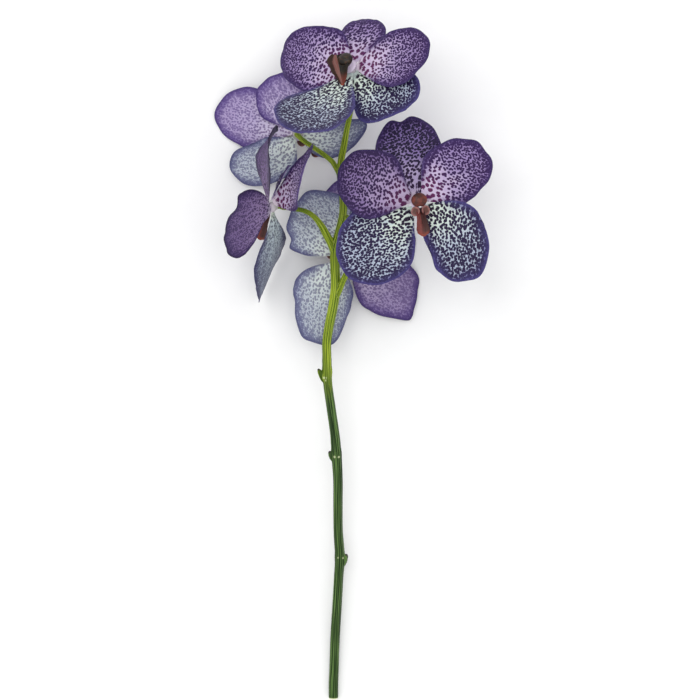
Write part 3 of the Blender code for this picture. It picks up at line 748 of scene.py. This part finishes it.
SEPAL_BACK = dict(
    BACK, crowd=0.02,
    ground=colour(218, 226, 222), outer=colour(188, 196, 208), foot=colour(200, 210, 196),
    shade=colour(192, 202, 208), spot=colour(84, 76, 112), spot_outer=colour(78, 76, 116),
    margin=colour(92, 96, 134), margin_light=colour(128, 132, 166), margin_share=0.75,
    rim=colour(72, 72, 112))
# painted shade: the petal back darkened all over, for blades of the side bloom that lie in shade
PAINTED_SHADE_BACK = dict(
    PETAL_BACK, cells=0.5, chains=0.9, strength=0.8,
    ground=colour(146, 124, 166), outer=colour(124, 102, 150), shade=colour(108, 86, 134),
    spot=colour(44, 28, 66), spot_outer=colour(48, 32, 76),
    margin=colour(56, 40, 86), margin_light=colour(82, 64, 116), rim=colour(38, 26, 60))
BLUE_BACK = dict(
    SEPAL_BACK, cells=0.5, chains=0.9, strength=0.75,
    ground=colour(182, 194, 200), outer=colour(150, 158, 178), shade=colour(146, 156, 172),
    spot=colour(52, 48, 74), spot_outer=colour(52, 50, 82),
    margin=colour(66, 64, 102), margin_light=colour(96, 98, 136), rim=colour(52, 50, 84))


def lip_points(u, t, lip):
    """Middle surface of the lip's tongue."""
    half = smooth_table(t, LIP_STATIONS, LIP_HALF) * lip["wide"]
    curl = np.radians(smooth_table(t, LIP_STATIONS, LIP_CURL)) * u
    along = t * lip["length"] - 1.5 * u ** 2 * t ** 8
    keels = sum(height * np.exp(-((u - at) / width) ** 2) for at, height, width in LIP_KEELS)
    relief = LIP_KEEL_HEIGHT * keels * eased(t / 0.2) * eased((1 - t) / 0.3)
    return wrap(half * u, along, curl, relief, lip)


def ear_points(x, y, middle, long_way, short_way, halves, hollow):
    """Middle surface of one of the round lobes at the lip's foot, x and y from -1 to 1."""
    long_way = np.array(long_way) / np.linalg.norm(long_way)
    short_way = np.array(short_way) - (np.array(short_way) @ long_way) * long_way
    short_way = short_way / np.linalg.norm(short_way)
    facing = np.cross(short_way, long_way)
    facing = facing * (1 if facing[2] > 0 else -1)
    disc_x = x * np.sqrt(1 - y ** 2 / 2)
    disc_y = y * np.sqrt(1 - x ** 2 / 2)
    bowl = hollow * (disc_x ** 2 + disc_y ** 2)
    flat = short_way * (disc_x * halves[1])[:, None] + long_way * (disc_y * halves[0])[:, None]
    return np.array(middle) + flat + facing * bowl[:, None]


def boat_points(u, t, boat):
    """Middle surface of a lip folded along its keel: u from the left to the right rim, t from foot to tip."""
    wide = (1 - t ** 2.4) * np.clip((t + 0.06) / 0.3, 0, 1) ** 0.6
    wall = np.where((u < 0)[:, None], np.array(boat["left"]), np.array(boat["right"]))
    reach = np.abs(u) * wide
    swell = np.sin(np.pi * np.clip(np.abs(u), 0, 1)) * wide * 1.2
    points = np.array(boat["middle"]) + np.outer(2 * t - 1, boat["keel"]) + wall * reach[:, None]
    points = points - np.outer(swell, (0.0, 0.2, 1.0))
    return points + np.outer(0.35 * np.sin(19 * t) * u ** 2, (0.5, 0.5, 0.5))


def make_boat(bloom_name, material):
    """The lip folded like a boat."""
    bloom = BLOOMS[bloom_name]
    obj = new_grid(f"{bloom_name}_lip_boat", LIP_CELLS)
    u, t = grid_shares(obj)
    move_vertices(obj, in_place(boat_points(u, t, bloom["boat"]), bloom) * MM)
    keep_values(obj, "fan", np.stack([u, t, np.zeros(len(u))], 1))
    thicken(obj, LIP_THICK, LIP_RIM_THICK, eased((1 - np.maximum(np.abs(u), t)) * 4))
    smooth(obj)
    return finished(obj, material, f"{bloom_name}_lip")


def make_lip(bloom_name, material):
    """The lip: a channelled tongue with three keels, and a round lobe on each side of its foot."""
    bloom = BLOOMS[bloom_name]
    lip = {**BLADE, **LIP, **bloom["lip"]}
    tongue = new_grid("tongue", LIP_CELLS)
    u, t = grid_shares(tongue)
    move_vertices(tongue, in_place(lip_points(u, t, lip), bloom) * MM)
    keep_values(tongue, "fan", np.stack([u, t, np.zeros(len(u))], 1))
    thicken(tongue, LIP_THICK, LIP_RIM_THICK, eased((1 - np.maximum(np.abs(u), t)) * 4))
    pieces = [tongue]
    for shape in EARS:
        ear = new_grid("ear", EAR_CELLS)
        square = vertex_places(ear)
        x = square[:, 0]
        y = square[:, 1]
        move_vertices(ear, in_place(ear_points(x, y, *shape), bloom) * MM)
        outward = np.maximum(np.abs(x), np.abs(y))
        keep_values(ear, "fan", np.stack([outward, y, np.ones(len(x))], 1))
        thicken(ear, EAR_THICK, EAR_RIM_THICK, eased((1 - outward) * 3))
        pieces.append(ear)
    obj = joined(pieces, f"{bloom_name}_lip_tongue")
    smooth(obj)
    return finished(obj, material, f"{bloom_name}_lip")


def round_piece(bloom, cells, sizes, middle, pale):
    """A flattened ball on the column: its bead, which is pale all over, or its collar."""
    obj, ball = new_ball(*cells)
    move_vertices(obj, in_place(ball * sizes + middle, bloom) * MM)
    keep_values(obj, "fan", np.stack([ball[:, 0], ball[:, 1] * 0, np.full(len(ball), pale)], 1))
    return obj


def make_column(bloom_name, material, beaded):
    """The column: a neck in a collar and a round cap with a shallow furrow, and a bead where it shows one."""
    bloom = BLOOMS[bloom_name]
    cap, ball = new_ball(36, 28)
    share = np.arccos(np.clip(-ball[:, 2], -1, 1)) / np.pi
    angle = np.arctan2(ball[:, 1], ball[:, 0])
    rings = np.array(COLUMN_RINGS)
    top = rings[-1, 0]
    table = smooth_table(share, rings[:, 0] / top, rings[:, 1:])
    close = np.sqrt(np.clip(1 - np.clip((share - 0.86) / 0.14, 0, 1) ** 2, 0, 1))
    close = close * np.clip(share / 0.02, 0, 1)
    furrow = 1 - 0.08 * np.exp(-((angle + np.pi / 2) / 0.22) ** 2) * eased((share - 0.45) / 0.2)
    wide = table[:, 0] * close * furrow
    deep = table[:, 1] * close * furrow
    height = COLUMN_BASE + share * top
    points = np.stack([wide * np.cos(angle), table[:, 2] + deep * np.sin(angle), height], 1)
    move_vertices(cap, in_place(points, bloom) * MM)
    keep_values(cap, "fan", np.stack([np.sin(angle), share, np.zeros(len(share))], 1))
    pieces = [cap]
    if beaded:
        pieces.append(round_piece(bloom, (16, 10), (1.0, 0.7, 0.7), (0.2, -3.0, COLUMN_BASE + 7.6), 1.0))
    pieces.append(round_piece(bloom, (28, 14), (4.9, 4.9, 1.3), (0.0, 0.0, COLUMN_BASE + 1.1), 0.0))
    obj = joined(pieces, f"{bloom_name}_column_cap")
    smooth(obj, 60)
    return finished(obj, material, f"{bloom_name}_column")


def eased_path(stations, step):
    """Even stations of a smooth curve through given ones (place and radius together)."""
    p = np.array(stations, float)
    p = np.concatenate([[2 * p[0] - p[1]], p, [2 * p[-1] - p[-2]]])
    out = []
    for i in range(1, len(p) - 2):
        count = max(1, round(float(np.linalg.norm(p[i + 1][:3] - p[i][:3])) / step))
        for k in range(count):
            f = k / count
            a = 2 * p[i]
            b = (p[i + 1] - p[i - 1]) * f
            c = (2 * p[i - 1] - 5 * p[i] + 4 * p[i + 1] - p[i + 2]) * f * f
            d = (3 * p[i] - p[i - 1] - 3 * p[i + 1] + p[i + 2]) * f ** 3
            out.append((a + b + c + d) / 2)
    out.append(p[-2])
    return np.array(out)


def pedicel_path(name):
    """A pedicel from inside the stem to the receptacle that carries its bloom."""
    bloom = BLOOMS[name]
    middle = np.array(bloom["middle"])
    front = bloom_axes(bloom)[2]
    knob = (
        (-5.0, 1.7), (-3.0, 2.3), (-1.2, RECEPTACLE_RADIUS),
        (RECEPTACLE_FACE, RECEPTACLE_RADIUS - 0.4))
    end = [tuple(middle + front * depth) + (radius,) for depth, radius in knob]
    curve = eased_path(PEDICELS[name] + (end[0],), 1.2)
    return np.concatenate([curve[:-1], eased_path(end, 0.5)])


def make_tube(path, sides):
    """A round stalk along a path: a grid rolled up, its rings square to the path, closed at both ends."""
    bpy.ops.object.select_all(action="DESELECT")
    bpy.ops.mesh.primitive_grid_add(x_subdivisions=sides, y_subdivisions=len(path) - 1, size=2)
    obj = bpy.context.object
    square = vertex_places(obj)
    angle = (square[:, 0] + 1) * np.pi
    ring = np.rint((square[:, 1] + 1) / 2 * (len(path) - 1)).astype(int)
    tangents = np.gradient(path[:, :3], axis=0)
    tangents = tangents / np.linalg.norm(tangents, axis=1, keepdims=True)
    down = np.array([0.0, 0.0, -1.0]) if abs(tangents[0][2]) < 0.9 else np.array([0.0, 1.0, 0.0])
    downs = []
    for tangent in tangents:
        down = down - (down @ tangent) * tangent
        down = down / np.linalg.norm(down)
        downs.append(down)
    downs = np.array(downs)
    rights = np.cross(tangents, downs)
    out = np.cos(angle)[:, None] * downs[ring] + np.sin(angle)[:, None] * rights[ring]
    points = path[ring, :3] + path[ring, 3:4] * out - FOOTPRINT_MIDDLE
    move_vertices(obj, points * MM)
    mesh = bmesh.new()
    mesh.from_mesh(obj.data)
    bmesh.ops.remove_doubles(mesh, verts=mesh.verts[:], dist=1e-6)
    bmesh.ops.holes_fill(mesh, edges=[e for e in mesh.edges if e.is_boundary], sides=0)
    bmesh.ops.recalc_face_normals(mesh, faces=mesh.faces[:])
    mesh.to_mesh(obj.data)
    mesh.free()
    return obj


def marked(places, marks):
    """1 at the middle of any of the marks, 0 outside them."""
    share = np.zeros(len(places))
    for x, y, z, radius in marks:
        apart = np.linalg.norm(places - (x, y, z), axis=1)
        share = np.maximum(share, eased((1.4 * radius - apart) / (0.6 * radius)))
    return share


def along_stalks(places, paths):
    """Way along the nearest stalk, angle round it, and 0 on the stem or 2 down to 1 along another stalk."""
    best = np.full(len(places), np.inf)
    way = np.zeros(len(places))
    angle = np.zeros(len(places))
    kind = np.zeros(len(places))
    for number, path in enumerate(paths):
        steps = np.linalg.norm(np.diff(path[:, :3], axis=0), axis=1)
        travelled = np.concatenate([[0], np.cumsum(steps)])
        for first in range(0, len(places), STEM_BATCH):
            part = slice(first, first + STEM_BATCH)
            gap = np.linalg.norm(places[part, None] - path[None, :, :3], axis=2) - path[None, :, 3]
            nearest = gap.argmin(1)
            gap = gap[np.arange(len(nearest)), nearest] + (0.0 if number == 0 else STEM_LEAD)
            closer = gap < best[part]
            offset = places[part] - path[nearest, :3]
            turn = np.arctan2(offset[:, 0], offset[:, 2])
            left = 1 - travelled[nearest] / travelled[-1]
            best[part] = np.where(closer, gap, best[part])
            way[part] = np.where(closer, travelled[nearest], way[part])
            angle[part] = np.where(closer, turn, angle[part])
            kind[part] = np.where(closer, 0.0 if number == 0 else 1.0 + left, kind[part])
    return way, angle, kind


def make_stem(material):
    """The stem with its pedicels, receptacles and bracts grown together, ribbed lengthwise."""
    paths = [eased_path(STEM, 1.5)] + [pedicel_path(name) for name in PEDICELS]
    pieces = [make_tube(path, PEDICEL_SIDES if i else STEM_SIDES) for i, path in enumerate(paths)]
    for base, direction, length, half in BRACTS:
        direction = np.array(direction) / np.linalg.norm(direction)
        scale = [tuple(np.array(base) + direction * length * f) + (r * half,) for f, r in BRACT_TAPER]
        pieces.append(make_tube(eased_path(scale, 0.8), BRACT_SIDES))
    obj = joined(pieces, "green_stem")
    modifier = obj.modifiers.new("skin", "REMESH")
    modifier.mode = "VOXEL"
    modifier.voxel_size = STEM_GRAIN * MM
    modifier.adaptivity = 0.0
    bpy.ops.object.modifier_apply(modifier=modifier.name)
    modifier = obj.modifiers.new("even", "SMOOTH")
    modifier.factor = 0.5
    modifier.iterations = 3
    bpy.ops.object.modifier_apply(modifier=modifier.name)
    places = vertex_places(obj) / MM + FOOTPRINT_MIDDLE
    way, angle, kind = along_stalks(places, paths)
    on_stem = kind == 0
    ribs = sum(height * np.cos(count * angle + twist * way + phase) for height, count, twist, phase in RIBS)
    nodes = 0
    for height, past, length in NODE_SHAPE:
        nodes = nodes + height * sum(np.exp(-((way - place - past) / length) ** 2) for place in NODES)
    push = np.where(on_stem, ribs + nodes, 0.5 * ribs)
    ends = np.where(on_stem, eased(way / 2.0), 1.0)
    places = places + vertex_normals(obj) * (push * ends)[:, None]
    places[:, 2] = np.maximum(places[:, 2], 0.0)
    move_vertices(obj, (places - FOOTPRINT_MIDDLE) * MM)
    keep_values(obj, "way", np.stack([way, angle, kind], 1))
    keep_values(obj, "withered", marked(places, WITHERED))
    keep_values(obj, "pale", marked(places, PALE_MARKS))
    smooth(obj, 60)
    return finished(obj, material, "stem")


def stem_skin():
    """Yellow-green above, dark glossy green below, with pale rib stripes that are partly the ribs' own colour
    and partly painted highlight, and a pale cut face.
    """
    skin = Finish("stem_skin", Coat_Weight=0.04, Coat_Roughness=0.3, Specular_IOR_Level=0.16)
    way, angle, kind = skin.parts(skin.kept("way"))
    ribs = skin.noise(skin.vector(angle * 2.6, way * 0.012, kind), 2.0, 2.0)
    mottle = skin.noise(skin.vector(angle * 1.5, way * 0.12, kind), 1.0, 3.0)
    young = skin.step(way + (mottle - 0.5) * 26.0, 196.0, 232.0)
    young = skin.node("ShaderNodeMath", {"operation": "MAXIMUM"}, {0: young, 1: skin.step(kind, 0.5, 0.9)})
    # pale stripes along the ribs: partly their own paler colour, partly painted highlight
    low = skin.blend(skin.step(ribs, 0.45, 0.62), colour(12, 40, 0), colour(92, 122, 62))
    high = skin.blend(skin.step(ribs, 0.42, 0.62), colour(64, 90, 0), colour(164, 182, 50))
    base = skin.blend(young, low, high)
    base = skin.blend(skin.step(mottle, 0.6, 0.85) * 0.25, base, colour(120, 130, 50))
    base = skin.blend(skin.step(way, 0.9, 0.1) * skin.step(kind, 0.5, 0.1), base, colour(170, 184, 120))
    base = skin.blend(skin.step(kind, 1.09, 1.03) * skin.step(kind, 0.9, 0.99), base, colour(196, 186, 196))
    base = skin.blend(skin.kept("withered", "Fac"), base, colour(52, 46, 40))
    base = skin.blend(skin.kept("pale", "Fac") * 0.8, base, colour(198, 206, 160))
    return skin.painted(base, 0.3 + mottle * 0.16, ribs, 0.5, 0.0008)


def boat_skin():
    """Dark brown rims, a pink-brown face with red streaks, a black-olive inside that is painted shade, and an
    orange tip.
    """
    skin = Finish("folded_lip_skin", Coat_Weight=0.06, Coat_Roughness=0.3, Specular_IOR_Level=0.25)
    u, t, flat = skin.parts(skin.kept("fan"))
    grain = skin.noise(skin.place(), 900.0, 3.0)
    streak = skin.noise(skin.vector(u * 7.0, t * 1.2, flat), 1.5, 2.0)
    face = skin.blend(skin.step(streak, 0.5, 0.66) * 0.8, colour(120, 84, 78), colour(116, 34, 26))
    face = skin.blend(skin.step(u + (grain - 0.5) * 0.2, -0.45, -0.7), face, colour(46, 24, 16))
    # painted shade: the inside of the right wall is near black, as if in shade, browner towards the tip
    inside = skin.blend(skin.step(grain, 0.4, 0.7), colour(12, 9, 7), colour(44, 36, 20))
    inside = skin.blend(skin.step(t, 0.5, 0.85), inside, colour(104, 46, 36))
    # the right wall, u over 0, takes the painted shade
    base = skin.blend(skin.step(u, -0.04, 0.06), face, inside)
    base = skin.blend(skin.step(t, 0.88, 0.98) * 0.8, base, colour(150, 60, 30))
    return skin.painted(base, 0.36 + grain * 0.2, grain * 0.5 + streak * 0.5, 0.4, 0.0005)


def lip_skin():
    """Maroon with paler keels, an orange tip and a pale throat."""
    skin = Finish("lip_skin", Coat_Weight=0.1, Coat_Roughness=0.3, Specular_IOR_Level=0.3)
    u, t, ear = skin.parts(skin.kept("fan"))
    grain = skin.noise(skin.place(), 900.0, 3.0)
    streak = skin.noise(skin.vector(u * 9.0, t * 1.4, ear), 1.5, 2.0)
    middle = skin.step(u, -0.2, 0.4)
    tongue = skin.blend(middle, colour(54, 24, 20), colour(118, 56, 52))
    tongue = skin.blend(skin.step(streak, 0.5, 0.7) * 0.6, tongue, colour(96, 26, 24))
    tongue = skin.blend(skin.step(t, 0.84, 0.98) * 0.7, tongue, colour(140, 54, 30))
    tongue = skin.blend(skin.step(t, 0.16, 0.02), tongue, colour(216, 206, 214))
    ears = skin.blend(skin.step(u + (grain - 0.5) * 0.4, 0.5, 0.95), colour(92, 54, 48), colour(150, 100, 96))
    base = skin.blend(ear, tongue, ears)
    base = skin.blend(skin.step(grain, 0.45, 0.75) * 0.45, base, colour(50, 22, 20))
    return skin.painted(base, 0.36 + grain * 0.2, grain * 0.5 + streak * 0.5, 0.4, 0.0005)


def column_skin(name, deep, light, dark):
    """A cap in a deep and a light colour, with painted shade on one side, over a pale neck and collar."""
    skin = Finish(name, Coat_Weight=0.1, Coat_Roughness=0.3, Specular_IOR_Level=0.3)
    turn, share, bead = skin.parts(skin.kept("fan"))
    place = skin.place()
    grain = skin.noise(place, 800.0, 3.0)
    large = skin.noise(place, 260.0, 2.0)
    cap = skin.blend(skin.step(large, 0.4, 0.65), deep, light)
    # painted shade: one side of the cap turns near black, as far as dark says
    cap = skin.blend(skin.step(turn, 1.2 - dark * 1.3, 1.1) * dark, cap, colour(24, 18, 14))
    cap = skin.blend(skin.step(grain, 0.55, 0.8) * 0.5, cap, colour(136, 60, 40))
    base = skin.blend(skin.step(share + (large - 0.5) * 0.1, 0.3, 0.4), colour(206, 192, 214), cap)
    base = skin.blend(bead, base, colour(236, 232, 230))
    return skin.painted(base, 0.34 + grain * 0.2, grain, 0.4, 0.0005)


def make_floor():
    bpy.ops.object.select_all(action="DESELECT")
    bpy.ops.mesh.primitive_plane_add(size=FLOOR_SIZE)
    floor = bpy.context.object
    floor.name = "pale_floor"
    paper = Finish("pale_paper", Roughness=0.9)
    tone = paper.blend(paper.noise(paper.place(), 30.0, 2.0), colour(244, 244, 244), colour(250, 250, 250))
    paper.feed(paper.shader.inputs["Base Color"], tone)
    floor.data.materials.append(paper.material)


def soft_box(name, place, power):
    """A round lamp that looks at the blooms."""
    data = bpy.data.lights.new(name, "AREA")
    data.shape = "DISK"
    data.size = SOFT_BOX_SIZE
    data.energy = power
    obj = bpy.data.objects.new(name, data)
    bpy.context.scene.collection.objects.link(obj)
    toward = np.array(SOFT_BOX_AIM) - np.array(place)
    pitch = math.atan2(math.hypot(toward[0], toward[1]), -toward[2])
    obj.location = place
    obj.rotation_euler = (pitch, 0.0, math.atan2(-toward[0], toward[1]))


def make_studio():
    make_floor()
    for name, place, power in SOFT_BOXES:
        soft_box(name, place, power)
    world = bpy.data.worlds.new("studio")
    world.use_nodes = True
    background = world.node_tree.nodes["Background"]
    background.inputs["Color"].default_value = (1, 1, 1, 1)
    background.inputs["Strength"].default_value = STUDIO_GLOW
    bpy.context.scene.world = world
    bpy.context.scene.view_settings.view_transform = "Standard"
    data = bpy.data.cameras.new("camera")
    data.lens = CAMERA_LENS
    data.sensor_width = CAMERA_SENSOR
    camera = bpy.data.objects.new("camera", data)
    bpy.context.scene.collection.objects.link(camera)
    camera.location = (np.array([0.0, 0.0, CAMERA_HEIGHT]) - FOOTPRINT_MIDDLE) * MM
    bpy.context.scene.camera = camera


def make_blooms():
    """The five blooms, each blade with the finish that shows on it."""
    petal = spotted_skin("petal_skin", PETAL_FRONT, PETAL_BACK)
    dorsal = spotted_skin("dorsal_skin", DORSAL_FRONT, PETAL_BACK)
    sepal = spotted_skin("lateral_sepal_skin", SEPAL_FRONT, SEPAL_BACK)
    # painted shade: the side bloom's dorsal sepal and right lateral sepal take the darkened petal back on
    # both faces
    painted_shade_back = spotted_skin("painted_shade_sepal_skin", PAINTED_SHADE_BACK, PAINTED_SHADE_BACK)
    blue = spotted_skin("blue_sepal_skin", SEPAL_FRONT, BLUE_BACK)
    skins = {
        "dorsal_sepal": dorsal, "petal_left": petal, "petal_right": petal,
        "lateral_sepal_left": sepal, "lateral_sepal_right": sepal}
    own = {
        ("top", "dorsal_sepal"): petal,
        ("side", "dorsal_sepal"): painted_shade_back,
        ("side", "lateral_sepal_right"): painted_shade_back,
        ("side", "lateral_sepal_left"): blue,
    }
    lip = lip_skin()
    boat = boat_skin()
    column = column_skin("column_skin", colour(66, 32, 28), colour(110, 46, 34), 0.7)
    # painted shade: a near-black copy of the column's finish, for the top bloom's column, which lies in shade
    painted_shade_column = column_skin("painted_shade_column_skin", colour(14, 11, 9), colour(66, 50, 30), 1.0)
    number = 0
    for bloom_name in BLOOMS:
        for kind in BLADES:
            number += 1
            skin = own.get((bloom_name, kind), skins[kind])
            make_blade(bloom_name, kind, number, skin)
        if "boat" in BLOOMS[bloom_name]:
            make_boat(bloom_name, boat)
            make_column(bloom_name, painted_shade_column, False)
        else:
            make_lip(bloom_name, lip)
            make_column(bloom_name, column, True)


make_blooms()
make_stem(stem_skin())
make_studio()
